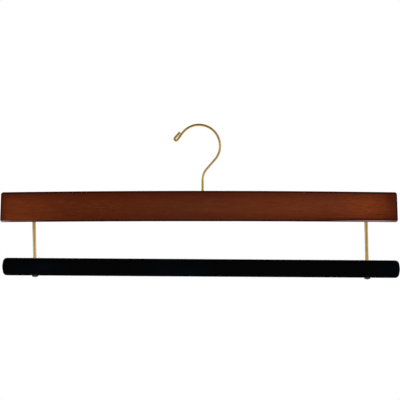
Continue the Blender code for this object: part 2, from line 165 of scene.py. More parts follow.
def light_room():
    """What glossy faces reflect: walls and ceiling by direction. The camera itself sees plain white."""
    world = bpy.data.worlds.new("white_room")
    world.use_nodes = True
    tree = world.node_tree
    tree.nodes.clear()
    direction = add_node(tree, "ShaderNodeTexCoord").outputs["Generated"]
    across, along, up = add_node(tree, "ShaderNodeSeparateXYZ", {0: direction}).outputs
    side = math_node(tree, "ABSOLUTE", across)
    height = math_node(tree, "ABSOLUTE", up)
    colour = layered(
        tree,
        WALL_GLOW,
        (stepped(tree, up, *CEILING_RISE), CEILING_GLOW),
        (stepped(tree, up, *FLOOR_FALL), FLOOR_GLOW),
        (times(tree, stepped(tree, side, *FLAG_SIDE), stepped(tree, along, *FLAG_DEPTH)), FLAG_GLOW),
        (times(tree, stepped(tree, along, *BACK_DEPTH), stepped(tree, height, *BACK_HEIGHT)), BACK_GLOW),
        (stepped(tree, along, *FRONT_DEPTH), FRONT_GLOW),
    )
    surround = add_node(tree, "ShaderNodeBackground", {"Color": colour, "Strength": 1.0})
    backdrop = add_node(tree, "ShaderNodeBackground", {"Color": (1, 1, 1, 1), "Strength": 1.0})
    seen = add_node(tree, "ShaderNodeLightPath").outputs["Is Camera Ray"]
    mixed = add_node(tree, "ShaderNodeMixShader", {0: seen, 1: surround.outputs[0], 2: backdrop.outputs[0]})
    add_node(tree, "ShaderNodeOutputWorld", {"Surface": mixed.outputs[0]})
    bpy.context.scene.world = world


def soft_lamp(name, place, width, power):
    """A round lamp that faces the hanger. Neither the camera nor a reflection shows it."""
    lamp_data = bpy.data.lights.new(name, "AREA")
    lamp_data.shape = "DISK"
    lamp_data.size = width
    lamp_data.energy = power
    lamp = link(bpy.data.objects.new(name, lamp_data))
    lamp.location = place
    lamp.rotation_euler = (Vector((0, 0, VIEW_Z)) - Vector(place)).to_track_quat("-Z", "Y").to_euler()
    lamp.visible_glossy = False
    lamp.visible_camera = False


def lay_floor():
    """A pale disc that fades out towards its rim, so that it has no horizon."""
    finish, tree, shader, place = new_finish("pale_floor")
    reach = add_node(tree, "ShaderNodeVectorMath", {0: place}, operation="LENGTH").outputs["Value"]
    fade = stepped(tree, reach, FLOOR_RADIUS, FLOOR_FADE_START)
    set_inputs(tree, shader, {"Base Color": FLOOR_COLOUR, "Roughness": FLOOR_ROUGHNESS, "Alpha": fade})
    shape = bmesh.new()
    bmesh.ops.create_circle(shape, cap_ends=True, segments=FLOOR_SIDES, radius=FLOOR_RADIUS)
    mesh = bpy.data.meshes.new("floor")
    shape.to_mesh(mesh)
    shape.free()
    mesh.materials.append(finish)
    floor = link(bpy.data.objects.new("floor", mesh))
    floor.location = (0, 0, FLOOR_Z)


light_room()
for lamp_values in LAMPS:
    soft_lamp(*lamp_values)
lay_floor()
bpy.context.scene.view_settings.view_transform = "Standard"

# Crossbar
# The flat beam that carries everything: one board of close-grained hardwood, sawn with slightly bowed long
# edges and flared ends, sanded round on every edge, stained dark and sprayed with satin lacquer.
BEAM_HALF_LENGTH = 254.4 * MM
BEAM_HEIGHT = 39.0 * MM
BEAM_THICKNESS = 12.7 * MM
BEAM_TOP_CROWN = 1.9 * MM
BEAM_UNDERSIDE_ARCH = 1.2 * MM
BEAM_END_FLARE = 2.0 * DEGREE
BEAM_CORNER_RADIUS = 3.2 * MM
BEAM_EDGE_RADIUS = 2.5 * MM
BEAM_TOP_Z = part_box("crossbar")[1].z
BEAM_UNDERSIDE_Z = BEAM_TOP_Z - BEAM_HEIGHT
HOOK_STEM_X = 4.6 * MM
HOOK_BORE_RADIUS = 3.8 * MM
HOOK_BORE_DEPTH = 22.0 * MM
ROD_INSET = 41.9 * MM  # from the ends of the lower edge
ROD_OFFSET = 1.3 * MM  # of the pair, to the right of the beam's middle
ROD_LEAN = 1.3 * DEGREE
ROD_BORE_RADIUS = 2.55 * MM
ROD_EMBED = 22.0 * MM
ROD_BORE_SPARE = 0.3 * MM  # past the rod's end
ROD_BORE_POINT = 1.5 * MM  # past the rod's end, where the drill's point reached
DRILL_OVERRUN = 5 * MM  # of a cutter, past the face that it goes in by
EDGE_RINGS = 8
CORNER_STEPS = 10
BEAM_COLUMNS = 120
BEAM_ROWS = 24
BEAM_LAYERS = 4
GRID_TOLERANCE = 0.01 * MM
MERGE_DISTANCE = 0.001 * MM
SHARP_ANGLE = 35 * DEGREE
BEAM_SHARP_ANGLE = 60 * DEGREE


def smooth_mesh(name, shape, sharp_angle=SHARP_ANGLE):
    """Ends a bmesh as a mesh with its faces out, smooth but for its sharp edges."""
    bmesh.ops.remove_doubles(shape, verts=shape.verts, dist=MERGE_DISTANCE)
    bmesh.ops.recalc_face_normals(shape, faces=shape.faces)
    mesh = bpy.data.meshes.new(name)
    shape.to_mesh(mesh)
    shape.free()
    mesh.shade_smooth()
    mesh.set_sharp_from_angle(angle=sharp_angle)
    return mesh


def turned_mesh(name, profile, ring=False, sides=72):
    """Turns (radius, height) points round Z. A ring's profile closes on itself. Others end on the axis."""
    shape = bmesh.new()
    rows = []
    for i in range(sides):
        turn = 2 * math.pi * i / sides
        spoke = Vector((math.cos(turn), math.sin(turn), 0))
        points = [spoke * radius + Vector((0, 0, height)) for radius, height in profile]
        rows.append([shape.verts.new(point) for point in points])
    for here, ahead in zip(rows, rows[1:] + rows[:1]):
        for j in range(0 if ring else 1, len(profile)):
            shape.faces.new((here[j - 1], ahead[j - 1], ahead[j], here[j]))
    return smooth_mesh(name, shape)


def plain_copy(piece, name):
    """The piece as its modifiers leave it, as a plain mesh at the origin in place of the piece."""
    bpy.context.view_layer.update()
    mesh = bpy.data.meshes.new_from_object(piece.evaluated_get(bpy.context.evaluated_depsgraph_get()))
    mesh.transform(piece.matrix_world)
    bpy.data.objects.remove(piece)
    mesh.name = name
    return link(bpy.data.objects.new(name, mesh))


def cut_with(piece, name, mesh, matrix):
    """Cuts a hole in the piece and returns the cutter, which goes once the piece is a plain mesh."""
    tool = link(bpy.data.objects.new(name, mesh))
    tool.matrix_world = matrix
    cut = piece.modifiers.new(name, "BOOLEAN")
    cut.operation = "DIFFERENCE"
    cut.solver = "EXACT"
    cut.object = tool
    return tool


def beam_top(x):
    return BEAM_TOP_Z - BEAM_TOP_CROWN * (x / BEAM_HALF_LENGTH) ** 2


def beam_underside(x):
    return BEAM_UNDERSIDE_Z - BEAM_UNDERSIDE_ARCH * (x / BEAM_HALF_LENGTH) ** 2


def rounded_corner(before, corner, after, radius):
    """Points (x, z) of the arc that takes a corner's place in an outline that runs anticlockwise."""
    corner = Vector(corner)
    back = (Vector(before) - corner).normalized()
    ahead = (Vector(after) - corner).normalized()
    inward = (back + ahead).normalized()
    half = back.angle(ahead) / 2
    centre = corner + inward * radius / math.sin(half)
    facing = math.atan2(-inward.y, -inward.x)
    swing = math.pi / 2 - half
    turns = [facing + swing * (2 * i / CORNER_STEPS - 1) for i in range(CORNER_STEPS + 1)]
    return [(centre.x + radius * math.cos(turn), centre.y + radius * math.sin(turn)) for turn in turns]


def beam_outline(inset):
    """The beam from the front, set in all round, as points (x, z) that run anticlockwise."""
    slope = math.tan(BEAM_END_FLARE)
    height = beam_top(BEAM_HALF_LENGTH) - beam_underside(BEAM_HALF_LENGTH)
    low_half = BEAM_HALF_LENGTH - inset * (slope + math.hypot(1, slope))
    high_half = low_half - (height - 2 * inset) * slope
    shares = [2 * i / BEAM_COLUMNS - 1 for i in range(BEAM_COLUMNS + 1)]
    lower = [(low_half * share, beam_underside(low_half * share) + inset) for share in shares]
    upper = [(-high_half * share, beam_top(high_half * share) - inset) for share in shares]
    radius = BEAM_CORNER_RADIUS - inset
    outline = []
    for edge, other in ((lower, upper), (upper, lower)):
        outline += rounded_corner(other[-1], edge[0], edge[1], radius)
        outline += edge[1:-1]
        outline += rounded_corner(edge[-2], edge[-1], other[0], radius)
    return outline


def edge_depth(point):
    """How far a point on the beam lies from its nearest long or short edge."""
    x, y, z = point
    end_depth = BEAM_HALF_LENGTH - abs(x) - (z - BEAM_UNDERSIDE_Z) * math.tan(BEAM_END_FLARE)
    depths = (end_depth, BEAM_THICKNESS / 2 - abs(y), beam_top(x) - z, z - beam_underside(x))
    return sorted(depths)[1]


def saw_beam():
    """The beam's outline, rounded over to both faces, which are cut in a grid that holds their shading."""
    half_depth = BEAM_THICKNESS / 2
    front = []
    for i in range(EDGE_RINGS + 1):
        turn = math.pi / 2 * i / EDGE_RINGS
        inset = BEAM_EDGE_RADIUS * (1 - math.sin(turn))
        front.append((BEAM_EDGE_RADIUS * (1 - math.cos(turn)) - half_depth, inset))
    shape = bmesh.new()
    loops = []
    for y, inset in front + [(-y, inset) for y, inset in front[::-1]]:
        loops.append([shape.verts.new((x, y, z)) for x, z in beam_outline(inset)])
    for first, second in zip(loops, loops[1:]):
        for i in range(len(first)):
            j = (i + 1) % len(first)
            shape.faces.new((first[i], first[j], second[j], second[i]))
    shape.faces.new(loops[0])
    shape.faces.new(loops[-1])
    for count, reach, direction in (
        (BEAM_COLUMNS, BEAM_HALF_LENGTH, Vector((1, 0, 0))),
        (BEAM_ROWS, BEAM_HEIGHT / 2, Vector((0, 0, 1))),
        (BEAM_LAYERS, half_depth, Vector((0, 1, 0))),
    ):
        middle = direction.z * (BEAM_UNDERSIDE_Z + BEAM_HEIGHT / 2)
        for i in range(1, count):
            place = direction * (middle + reach * (2 * i / count - 1))
            bmesh.ops.bisect_plane(
                shape,
                geom=shape.verts[:] + shape.edges[:] + shape.faces[:],
                dist=GRID_TOLERANCE,
                plane_co=place,
                plane_no=direction,
            )
    return link(bpy.data.objects.new("sawn_beam", smooth_mesh("sawn_beam", shape, BEAM_SHARP_ANGLE)))


def rod_hole_x(side):
    return ROD_OFFSET + side * (BEAM_HALF_LENGTH - ROD_INSET)


def drill_beam(beam):
    bore = [(0, -HOOK_BORE_DEPTH), (HOOK_BORE_RADIUS, -HOOK_BORE_DEPTH)]
    bore += [(HOOK_BORE_RADIUS, DRILL_OVERRUN), (0, DRILL_OVERRUN)]
    place = Matrix.Translation((HOOK_STEM_X, 0, BEAM_TOP_Z))
    tools = [cut_with(beam, "hook_bore", turned_mesh("hook_bore", bore), place)]
    for side in (-1, 1):
        x = rod_hole_x(side)
        place = Matrix.Translation((x, 0, beam_underside(x))) @ Matrix.Rotation(-ROD_LEAN, 4, "Y")
        bore = [(0, -DRILL_OVERRUN), (ROD_BORE_RADIUS, -DRILL_OVERRUN)]
        bore += [(ROD_BORE_RADIUS, ROD_EMBED + ROD_BORE_SPARE), (0, ROD_EMBED + ROD_BORE_POINT)]
        tools.append(cut_with(beam, "rod_bore", turned_mesh("rod_bore", bore), place))
    drilled = plain_copy(beam, "beam")
    for tool in tools:
        bpy.data.objects.remove(tool)
    drilled.data.set_sharp_from_angle(angle=BEAM_SHARP_ANGLE)
    return drilled


# Painted floor reflection and painted shade line along the lower front edge: heights over the lower edge,
# and where a change starts, where it is full, and its share
REFLECTION_BAND_HEIGHT = 1.3 * MM
REFLECTION_BAND_SPREAD = (0.9 * MM, 0.25 * MM)
REFLECTION_BAND_RIGHT = (165 * MM, 228 * MM)
REFLECTION_BAND_RIGHT_EASE = (233 * MM, 250 * MM, 0.5)
REFLECTION_BAND_LEFT = (-195 * MM, -215 * MM, 0.2)
REFLECTION_BAND_LEFT_END = (-236 * MM, -250 * MM)
SHADE_LINE_HEIGHT = 3.1 * MM
SHADE_LINE_SPREAD = (1.6 * MM, 0.6 * MM)
SHADE_LINE_RIGHT = (120 * MM, 200 * MM)


def ramp(value, start, full, share=1):
    return share * min(1, max(0, (value - start) / (full - start)))


def painted_reflection_share(point):
    """How strong the painted reflection of the pale floor is: a band along the lower front edge, near both
    ends of the beam.
    """
    x, y, z = point
    low = ramp(abs(z - beam_underside(x) - REFLECTION_BAND_HEIGHT), *REFLECTION_BAND_SPREAD)
    right = ramp(x, *REFLECTION_BAND_RIGHT) * (1 - ramp(x, *REFLECTION_BAND_RIGHT_EASE))
    left = max(ramp(x, *REFLECTION_BAND_LEFT_END), ramp(x, *REFLECTION_BAND_LEFT))
    return low * max(left, right) if y < 0 else 0


def painted_shade_line_share(point):
    """Painted shade in a line just above the painted reflection band, on the right half."""
    x, y, z = point
    above = ramp(abs(z - beam_underside(x) - SHADE_LINE_HEIGHT), *SHADE_LINE_SPREAD)
    return above * ramp(x, *SHADE_LINE_RIGHT) if y < 0 else 0


def mark_edges(piece):
    for name, rule in (("edge_depth", edge_depth), ("painted_reflection", painted_reflection_share), ("painted_shade_line", painted_shade_line_share)):
        marks = piece.data.attributes.new(name, "FLOAT", "POINT")
        marks.data.foreach_set("value", [rule(vertex.co) for vertex in piece.data.vertices])


WOOD_DARK = (0.066, 0.0122, 0.0027, 1)
WOOD_PALE = (0.134, 0.0256, 0.0055, 1)
# Painted glints: the lacquer's sheen over the figure, painted as pale, greyer flecks
WOOD_GLINT = (0.182, 0.0440, 0.0140, 1)
WOOD_HAZE = (0.085, 0.0420, 0.0320, 1)
WOOD_SHADE = (0.036, 0.0046, 0.0012, 1)
WOOD_ARRIS = (0.016, 0.0014, 0.0005, 1)
# Painted reflection of the pale floor, in a band along the lower front edge
WOOD_PAINTED_REFLECTION = (0.320, 0.200, 0.195, 1)
# Growth rings: where the tree's heart lay, as y and z, how wide a ring is, how far and how often it strays,
# and the shares of its width over which its late wood darkens and ends
BEAM_HEART = (34 * MM, -158 * MM)
BEAM_RING_WIDTH = 2.3 * MM
RING_WAVER = 9 * MM
RING_WAVER_GRAIN = (4.5, 16, 16)
RING_DRIFT = 26 * MM
RING_DRIFT_GRAIN = (1.7, 6, 6)
LATE_WOOD = (0.25, 0.9)
LATE_WOOD_END = (1.0, 0.92)
# Grain, as marks per metre along, through and up the beam
STREAK_GRAIN = (14, 420, 420)
FIBRE_GRAIN = (60, 1500, 1500)
FIGURE_GRAIN = (60, 190, 190)
GLINT_GRAIN = (100, 520, 520)
PORE_GRAIN = (130, 2600, 2600)
REFLECTION_BAND_GRAIN = (60, 300, 300)
# Changes of the stain along the beam: where each starts, where it is full, and how strong it is
LEFT_PALE = (-150 * MM, -235 * MM, 0.42)
MIDDLE_PALE = (-40 * MM, 150 * MM, 0.46)
RIGHT_FALL = (214 * MM, 252 * MM, -0.68)
LEFT_END_FADE = (-242 * MM, -251 * MM, 0.5)
RIGHT_END_FADE = (229 * MM, 251 * MM, 0.5)
BRIGHT_PATCH = (165 * MM, 215 * MM)
BRIGHT_PATCH_PALENESS = 0.46
BLOTCH_STRENGTH = 0.45
HAZE = (-130 * MM, 0.0, 180 * MM, 230 * MM)
HAZE_STRENGTH = 0.07
# Strength of the grain, and the noise at which each kind of mark starts and is full
GRAIN_LIFE = 0.44
BRIGHT_PATCH_LIFE = 0.75  # more, in the bright patch
# Painted glints of the lacquer over the figure
PAINTED_GLINT_MARKS = (0.5, 0.85)
PAINTED_GLINT_STRENGTH = 0.5
DARK_MARKS = (0.5, 0.15)
DARK_MARK_STRENGTH = 0.7
RING_STRENGTH = 0.12
STREAK_MARKS = (0.4, 0.75, 0.16)
FIBRE_MARKS = (0.45, 0.7, 0.16)
PORE_MARKS = (0.66, 0.74)
PORE_STRENGTH = 0.5
# Patches in the painted reflection band
REFLECTION_BAND_MARKS = (0.0, 0.5)
# Darker towards the top and bottom of the front face, by heights from the beam's middle line, and darker
# stain on the rounded edges, by depths from its nearest edge
TOP_DARKENING = (3 * MM, 18 * MM)
TOP_DARKENING_LEFT = 0.74
TOP_DARKENING_RIGHT = 0.56
TOP_DARKENING_CHANGE = 70 * MM  # how far right of the middle it takes to change
LOW_DARKENING = (-3 * MM, -18 * MM)
LOW_DARKENING_ALONG = (-228 * MM, -140 * MM)
LOW_DARKENING_STRENGTH = 0.5
ARRIS_DEPTH = (3.2 * MM, 1.4 * MM)
# Painted shade line above the lower front edge
SHADE_LINE_STRENGTH = 0.9
# Lacquer, and the relief under it: how far streaks stand out and pores go in, and its strength and depth
WOOD_ROUGHNESS = (0.30, 0.46)
WOOD_GLEAM = 0.03
COAT_WEIGHT = (0.5, 0.08)  # on the faces, and on the edges
COAT_ROUGHNESS = 0.1
STREAK_RELIEF = 0.4
PORE_RELIEF = -0.6
WOOD_RELIEF = (0.25, 0.02 * MM)


def patch(tree, value, start, full, strength):
    """0 before the start, and the whole strength from where it is full."""
    return times(tree, stepped(tree, value, start, full), strength)


def band(tree, value, places, strength=1):
    """The strength along a stretch, and 0 outside it. It starts, is full, fades and ends at four places."""
    start, full, fades, ends = places
    return times(tree, stepped(tree, value, start, full), stepped(tree, value, ends, fades), strength)


def spread(tree, share, low, high):
    """Turns 0 to 1 into low to high."""
    return add_node(tree, "ShaderNodeMapRange", {"Value": share, "To Min": low, "To Max": high}).outputs[0]


def stretched_noise(tree, place, scale, detail=3.0, roughness=0.55, offset=(0, 0, 0)):
    """Noise whose grains are 1 / scale long in metres along each axis."""
    placed = add_node(tree, "ShaderNodeMapping", {"Vector": place, "Scale": scale, "Location": offset})
    noise = add_node(
        tree,
        "ShaderNodeTexNoise",
        {"Vector": placed.outputs[0], "Scale": 1.0, "Detail": detail, "Roughness": roughness},
    )
    return noise.outputs["Fac"]


def embossed(tree, height, strength, depth):
    """The direction of a surface that the height stands out of, by up to the depth."""
    inputs = {"Strength": strength, "Distance": depth, "Height": height}
    return add_node(tree, "ShaderNodeBump", inputs).outputs[0]


def growth_rings(tree, place, heart, spacing):
    """Sawn growth rings round a heart that runs along the board, wavering as the tree grew."""
    _, along, up = add_node(tree, "ShaderNodeSeparateXYZ", {0: place}).outputs
    waver = stretched_noise(tree, place, RING_WAVER_GRAIN, detail=2.5)
    drift = stretched_noise(tree, place, RING_DRIFT_GRAIN, detail=1.0, offset=(3.1, 0, 0))
    y = math_node(tree, "SUBTRACT", along, heart[0])
    z = math_node(tree, "SUBTRACT", up, heart[1])
    radius = math_node(tree, "SQRT", added(tree, times(tree, y, y), times(tree, z, z)))
    radius = added(tree, radius, times(tree, waver, RING_WAVER), times(tree, drift, RING_DRIFT))
    phase = math_node(tree, "FRACT", math_node(tree, "DIVIDE", radius, spacing))
    return times(tree, stepped(tree, phase, *LATE_WOOD), stepped(tree, phase, *LATE_WOOD_END))


def beam_mark(tree, name):
    """One of the attributes that mark_edges writes on the beam."""
    return add_node(tree, "ShaderNodeAttribute", attribute_name=name).outputs["Fac"]


def lacquered_wood():
    finish, tree, shader, place = new_finish("lacquered_wood")
    x, _, z = add_node(tree, "ShaderNodeSeparateXYZ", {0: place}).outputs
    height = math_node(tree, "SUBTRACT", z, BEAM_UNDERSIDE_Z + BEAM_HEIGHT / 2)
    rings = growth_rings(tree, place, BEAM_HEART, BEAM_RING_WIDTH)
    streaks = stretched_noise(tree, place, STREAK_GRAIN, detail=4.0, roughness=0.6)
    fibres = stretched_noise(tree, place, FIBRE_GRAIN, detail=2.0)
    figure = stretched_noise(tree, place, FIGURE_GRAIN, detail=3.0, offset=(1.9, 0, 0))
    glints = stretched_noise(tree, place, GLINT_GRAIN, detail=2.0, offset=(0, 0, 4.4))
    pores = stepped(tree, stretched_noise(tree, place, PORE_GRAIN, detail=1.0), *PORE_MARKS)
    # Patches in the painted reflection along the lower edge
    patchy = stepped(tree, stretched_noise(tree, place, REFLECTION_BAND_GRAIN, detail=2.0), *REFLECTION_BAND_MARKS)
    arris = stepped(tree, beam_mark(tree, "edge_depth"), *ARRIS_DEPTH)

    bright_patch = stepped(tree, x, *BRIGHT_PATCH)
    paleness = added(
        tree,
        patch(tree, x, *LEFT_PALE),
        patch(tree, x, *MIDDLE_PALE),
        times(tree, bright_patch, BRIGHT_PATCH_PALENESS),
        patch(tree, x, *RIGHT_FALL),
        times(tree, math_node(tree, "SUBTRACT", figure, 0.5), BLOTCH_STRENGTH),
    )
    life = added(tree, times(tree, bright_patch, BRIGHT_PATCH_LIFE), GRAIN_LIFE)
    top_strength = add_node(
        tree,
        "ShaderNodeMapRange",
        {"Value": x, "From Max": TOP_DARKENING_CHANGE, "To Min": TOP_DARKENING_LEFT, "To Max": TOP_DARKENING_RIGHT},
    ).outputs[0]
    low_darkening = times(tree, stepped(tree, height, *LOW_DARKENING), stepped(tree, x, *LOW_DARKENING_ALONG))
    colour = layered(
        tree,
        WOOD_DARK,
        (paleness, WOOD_PALE),
        (band(tree, x, HAZE, HAZE_STRENGTH), WOOD_HAZE),
        # Painted glints, more of them in the bright patch
        (times(tree, stepped(tree, glints, *PAINTED_GLINT_MARKS), life, PAINTED_GLINT_STRENGTH), WOOD_GLINT),
        (times(tree, stepped(tree, glints, *DARK_MARKS), life, DARK_MARK_STRENGTH), WOOD_SHADE),
        (times(tree, rings, RING_STRENGTH), WOOD_SHADE),
        (patch(tree, streaks, *STREAK_MARKS), WOOD_SHADE),
        (patch(tree, fibres, *FIBRE_MARKS), WOOD_SHADE),
        (times(tree, pores, PORE_STRENGTH), WOOD_ARRIS),
        # Darker towards the top and bottom of the front face
        (times(tree, stepped(tree, height, *TOP_DARKENING), top_strength), WOOD_SHADE),
        (times(tree, low_darkening, LOW_DARKENING_STRENGTH), WOOD_SHADE),
        (added(tree, patch(tree, x, *RIGHT_END_FADE), patch(tree, x, *LEFT_END_FADE)), WOOD_SHADE),
        (arris, WOOD_ARRIS),
        # Painted shade in a line just above the lower front edge
        (times(tree, beam_mark(tree, "painted_shade_line"), SHADE_LINE_STRENGTH), WOOD_ARRIS),
        # Painted reflection of the pale floor along the lower front edge
        (times(tree, beam_mark(tree, "painted_reflection"), patchy), WOOD_PAINTED_REFLECTION),
    )
    relief = added(tree, times(tree, streaks, STREAK_RELIEF), times(tree, pores, PORE_RELIEF))
    surface = {
        "Base Color": colour,
        "Roughness": spread(tree, streaks, *WOOD_ROUGHNESS),
        "Specular IOR Level": WOOD_GLEAM,
        "Coat Weight": spread(tree, arris, *COAT_WEIGHT),
        "Coat Roughness": COAT_ROUGHNESS,
        "Normal": embossed(tree, relief, *WOOD_RELIEF),
    }
    set_inputs(tree, shader, surface)
    return finish


beam = drill_beam(saw_beam())
mark_edges(beam)
beam.data.materials.clear()
beam.data.materials.append(lacquered_wood())
beam.modifiers.new("flat_faces", "WEIGHTED_NORMAL").keep_sharp = True
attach(beam, "hanger")
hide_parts("crossbar")

# Swivel hook
# One length of brass-plated steel wire, bent to a ring that is open to the left. Its tip is folded back on
# itself so that it can't snag, and its lower end is upset to a head that turns under the bush in the beam.
WIRE_RADIUS = 1.5 * MM
RING_RADIUS = 26.9 * MM  # to the wire's axis
HOOK_SLOPE = 41 * DEGREE
HOOK_BEND_RADIUS = 20.5 * MM
STEM_LENGTH = 14.15 * MM
HOOK_RING_END = 144.5 * DEGREE
TIP_LENGTH = 9.75 * MM
TIP_RETURN_LENGTH = 9.6 * MM
TIP_FOLD_GAP = 1.15 * MM
TIP_END_GAP = 0.15 * MM
STEM_BELOW_WOOD = 17.4 * MM
HEAD_HEIGHT = 2.0 * MM
HEAD_WIDTH = 2.07  # as a share of the wire's
HEAD_SHAPE = ((-1, 0.9), (-0.85, 1), (-0.15, 1), (0, 0.9))  # shares of its height and of its width
HEAD_NECK = 0.02 * MM
TIP_ROUNDING = ((0.35 * MM, 1), (0.1 * MM, 0.92), (0, 0.8))  # distances from the end, and widths as shares
RING_STEPS = 96
BEND_STEPS = 24
HOOK_SIDES = 28


def new_tree(name, inputs):
    """A Geometry Nodes tree with a geometry in and out, and inputs that are named (label, socket kind)."""
    tree = bpy.data.node_groups.new(name, "GeometryNodeTree")
    tree.interface.new_socket("Geometry", in_out="INPUT", socket_type="NodeSocketGeometry")
    for label, kind in inputs:
        tree.interface.new_socket(label, in_out="INPUT", socket_type=kind)
    tree.interface.new_socket("Geometry", in_out="OUTPUT", socket_type="NodeSocketGeometry")
    return tree, add_node(tree, "NodeGroupInput").outputs


def end_tree(tree, geometry, finish):
    """Every tree ends in real geometry that wears its material."""
    real = add_node(tree, "GeometryNodeRealizeInstances", {0: geometry}).outputs[0]
    dressed = add_node(tree, "GeometryNodeSetMaterial", {"Geometry": real, "Material": finish}).outputs[0]
    add_node(tree, "NodeGroupOutput", {0: dressed})


def grown(base, name, tree, values):
    """The plain mesh that a tree makes of a base, with its inputs set by their labels."""
    modifier = base.modifiers.new(name, "NODES")
    modifier.node_group = tree
    for item in tree.interface.items_tree:
        if item.item_type == "SOCKET" and item.in_out == "INPUT" and item.name in values:
            modifier[item.identifier] = values[item.name]
    return plain_copy(base, name)


def swept(tree, curve, sides, radius):
    """A skin round a curve, closed at its ends."""
    ring = add_node(tree, "GeometryNodeCurvePrimitiveCircle", {"Resolution": sides, "Radius": radius})
    inputs = {"Curve": curve, "Profile Curve": ring.outputs[0], "Fill Caps": True}
    return add_node(tree, "GeometryNodeCurveToMesh", inputs).outputs[0]


def drawn_wire_tree():
    """Draws round wire along a curve. The curve's own radius swells or narrows it."""
    inputs = [
        ("Wire radius", "NodeSocketFloat"),
        ("Sides", "NodeSocketInt"),
        ("Finish", "NodeSocketMaterial"),
    ]
    tree, given = new_tree("drawn_wire", inputs)
    skin = swept(tree, given["Geometry"], given["Sides"], given["Wire radius"])
    smooth = add_node(tree, "GeometryNodeSetShadeSmooth", {"Geometry": skin})
    end_tree(tree, smooth.outputs[0], given["Finish"])
    return tree


def wire_curve(name, path):
    """A curve through points (x, y, z, width), where width is a share of the wire's."""
    curve = bpy.data.curves.new(name, "CURVE")
    curve.dimensions = "3D"
    spline = curve.splines.new("POLY")
    spline.points.add(len(path) - 1)
    for point, (x, y, z, width) in zip(spline.points, path):
        point.co = (x, y, z, 1)
        point.radius = width
    return link(bpy.data.objects.new(name, curve))


def arc(centre_x, centre_z, radius, start, end, count):
    """Points (x, z) along an arc, both ends included."""
    turns = [start + (end - start) * i / count for i in range(count + 1)]
    return [(centre_x + radius * math.cos(turn), centre_z + radius * math.sin(turn)) for turn in turns]


def hook_path():
    """The hook from its head round to its tip, as (x, y, z, width as a share of the wire's)."""
    ring_z = WIRE_RADIUS - RING_RADIUS
    bend_x = HOOK_STEM_X + HOOK_BEND_RADIUS
    bend_rise = bend_x * math.cos(HOOK_SLOPE) - RING_RADIUS - HOOK_BEND_RADIUS
    bend_z = ring_z + bend_rise / math.sin(HOOK_SLOPE)
    along = (-math.sin(HOOK_RING_END), math.cos(HOOK_RING_END))
    outward = (math.cos(HOOK_RING_END), math.sin(HOOK_RING_END))
    fold = WIRE_RADIUS + TIP_FOLD_GAP / 2

    head_top = bend_z - STEM_LENGTH - STEM_BELOW_WOOD
    head = [(head_top + HEAD_HEIGHT * rise, HEAD_WIDTH * width) for rise, width in HEAD_SHAPE]
    head.append((head_top + HEAD_NECK, 1))
    bend = arc(bend_x, bend_z, HOOK_BEND_RADIUS, math.pi, math.pi - HOOK_SLOPE, BEND_STEPS)
    ring = arc(0, ring_z, RING_RADIUS, -HOOK_SLOPE, HOOK_RING_END, RING_STEPS)
    fold_x = ring[-1][0] + along[0] * TIP_LENGTH + outward[0] * fold
    fold_z = ring[-1][1] + along[1] * TIP_LENGTH + outward[1] * fold
    fold_end = HOOK_RING_END - math.asin((TIP_FOLD_GAP - TIP_END_GAP) / TIP_RETURN_LENGTH)
    hairpin = arc(fold_x, fold_z, fold, HOOK_RING_END + math.pi, fold_end, BEND_STEPS)
    path = [(HOOK_STEM_X, 0, z, width) for z, width in head]
    path += [(x, 0, z, 1) for x, z in bend + ring + hairpin]
    for short, width in TIP_ROUNDING:
        length = TIP_RETURN_LENGTH - short
        end_x = hairpin[-1][0] + math.sin(fold_end) * length
        end_z = hairpin[-1][1] - math.cos(fold_end) * length
        path.append((end_x, 0, end_z, width))
    return path


BRASS_BRIGHT = (0.87, 0.565, 0.190, 1)
BRASS_TARNISHED = (0.69, 0.410, 0.115, 1)
# Painted highlight, for the brighter lower left rod, the ring's right side and the top of the stem
BRASS_PAINTED_HIGHLIGHT = (0.98, 0.720, 0.270, 1)
BRASS_BROWN = (0.46, 0.265, 0.028, 1)
BRASS_GREEN = (0.68, 0.500, 0.075, 1)
BRASS_GOLD = (0.58, 0.350, 0.010, 1)
BRASS_ROSE = (0.72, 0.450, 0.280, 1)
BRASS_SPECK = (0.42, 0.250, 0.090, 1)
# Tarnish and specks, as marks per metre and the noise at which they start and are full
TARNISH_GRAIN = (90, 90, 90)
TARNISH_MARKS = (0.35, 0.75)
SPECK_GRAIN = (900, 900, 900)
SPECK_MARKS = (0.6, 0.75, 0.25)
# Changes that last, up or across the hook and rods: where each starts, and where it is full
TOP_OF_HOOK = (-32 * MM, -4 * MM)
CROWN = (-6 * MM, -2 * MM)
TOP_OF_ROD = (-138 * MM, -124 * MM)
BOTTOM_OF_ROD = (-132 * MM, -164 * MM)
LEFT_ROD = (-90 * MM, -100 * MM)
RIGHT_OF_TIP = (-22 * MM, -19 * MM)
# Changes that end again: where each starts, is full, fades and ends
BELOW_CROWN = (-3 * MM, -6 * MM, -11 * MM, -16 * MM)
HOOK_FLANK = (-28 * MM, -34 * MM, -52 * MM, -60 * MM)
TOP_OF_STEM = (-56 * MM, -62 * MM, -66 * MM, -72 * MM)
STEM = (-66 * MM, -72 * MM, -90 * MM, -100 * MM)
SIDE_OF_RING = (23.5 * MM, 26.5 * MM, 29 * MM, 30 * MM)
# How strong each of them is
TOP_OF_HOOK_BROWN = 0.6
# Painted shadow where the left rod goes into the beam
TOP_OF_ROD_SHADOW = 0.3
CROWN_GOLD = 0.45
FLANK_ROSE = 0.5
STEM_GREEN = 0.85
# Painted highlights
BOTTOM_OF_ROD_HIGHLIGHT = 0.9
TOP_OF_STEM_HIGHLIGHT = 0.9
SIDE_OF_RING_HIGHLIGHT = 0.6
BRASS_ROUGHNESS = (0.16, 0.34)
BRASS_RELIEF = (0.15, 0.01 * MM)


